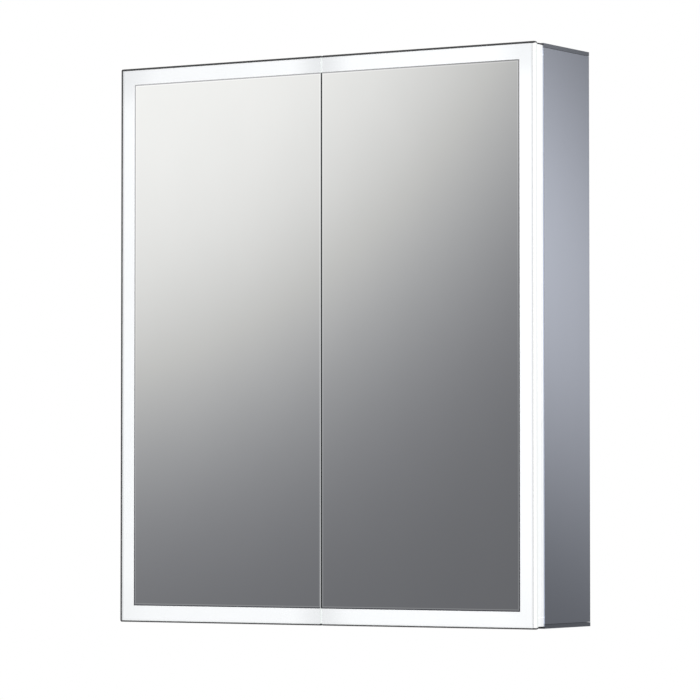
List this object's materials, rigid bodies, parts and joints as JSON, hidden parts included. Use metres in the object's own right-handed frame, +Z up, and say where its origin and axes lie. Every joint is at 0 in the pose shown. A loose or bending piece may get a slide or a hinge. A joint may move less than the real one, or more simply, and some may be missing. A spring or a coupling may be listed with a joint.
{
  "type": "mirror cabinet",
  "caption": "Wall-hung bathroom medicine cabinet: satin aluminium box with glass shelves behind hinged mirror doors that have glowing frosted borders.",
  "frame": {"origin": "centre of the back panel's rear face, on the wall plane", "axes": "+Z up, -Y out of the wall towards the user, +X to the right as seen by a user facing the mirror doors"},
  "size_m": [0.6, 0.137, 0.7],
  "materials": {
    "aluminium": "satin anodised, fine grain",
    "steel": "satin",
    "mirror": "silvered, with a sand-blasted lit border on the door fronts",
    "backing_film": "matt",
    "opal_acrylic": "opal, lit from inside",
    "led_strip": "white circuit board",
    "clear_glass": "polished",
    "back_board": "matt white",
    "white_plastic": "satin white",
    "driver_housing": "matt",
    "dark_plastic": "matt",
    "rubber": "matt",
    "soft_bumper": "clear soft"
  },
  "bodies": {
    "cabinet": {"side_panel_left": "aluminium", "side_panel_right": "aluminium", "top_panel": "aluminium", "bottom_panel": "aluminium", "back_panel": "back_board", "back_mirror": "mirror", "shelf_upper": "clear_glass", "shelf_lower": "clear_glass", "shelf_pin_upper_left_rear": "steel", "shelf_pin_upper_left_front": "steel", "shelf_pin_upper_right_rear": "steel", "shelf_pin_upper_right_front": "steel", "shelf_pin_lower_left_rear": "steel", "shelf_pin_lower_left_front": "steel", "shelf_pin_lower_right_rear": "steel", "shelf_pin_lower_right_front": "steel", "technical_cover": "aluminium", "door_sensor": "dark_plastic", "led_driver": "driver_housing", "terminal_block": "white_plastic", "cable_grommet": "rubber", "socket_plate": "white_plastic", "magnetic_catch": "white_plastic", "hanger_plate_left": "steel", "hanger_plate_right": "steel", "pivot_plate_left_top": "steel", "pivot_plate_left_bottom": "steel", "pivot_plate_right_top": "steel", "pivot_plate_right_bottom": "steel", "bumper_left": "soft_bumper", "bumper_right": "soft_bumper"},
    "left_door": {"left_door_mirror_glass": "mirror", "left_door_mirror_backing": "backing_film", "left_door_carrier_frame": "aluminium", "left_door_inner_mirror": "mirror", "left_door_light_channel_side": "opal_acrylic", "left_door_led_strip_side": "led_strip", "left_door_strike_plate": "steel", "left_door_light_channel_top": "opal_acrylic", "left_door_light_channel_bottom": "opal_acrylic", "left_door_led_strip_top": "led_strip", "left_door_led_strip_bottom": "led_strip", "left_door_corner_block_top": "white_plastic", "left_door_corner_block_bottom": "white_plastic"},
    "right_door": {"right_door_mirror_glass": "mirror", "right_door_mirror_backing": "backing_film", "right_door_carrier_frame": "aluminium", "right_door_inner_mirror": "mirror", "right_door_light_channel_side": "opal_acrylic", "right_door_led_strip_side": "led_strip", "right_door_strike_plate": "steel", "right_door_light_channel_top": "opal_acrylic", "right_door_light_channel_bottom": "opal_acrylic", "right_door_led_strip_top": "led_strip", "right_door_led_strip_bottom": "led_strip", "right_door_corner_block_top": "white_plastic", "right_door_corner_block_bottom": "white_plastic"}
  },
  "joints": [
    {"name": "left_door_hinge", "type": "hinge", "parent": "cabinet", "child": "left_door", "pos_m": [-0.296, -0.125, 0], "axis": [0, 0, -1], "range_deg": [0, 105]},
    {"name": "right_door_hinge", "type": "hinge", "parent": "cabinet", "child": "right_door", "pos_m": [0.296, -0.125, 0], "axis": [0, 0, 1], "range_deg": [0, 105]}
  ]
}
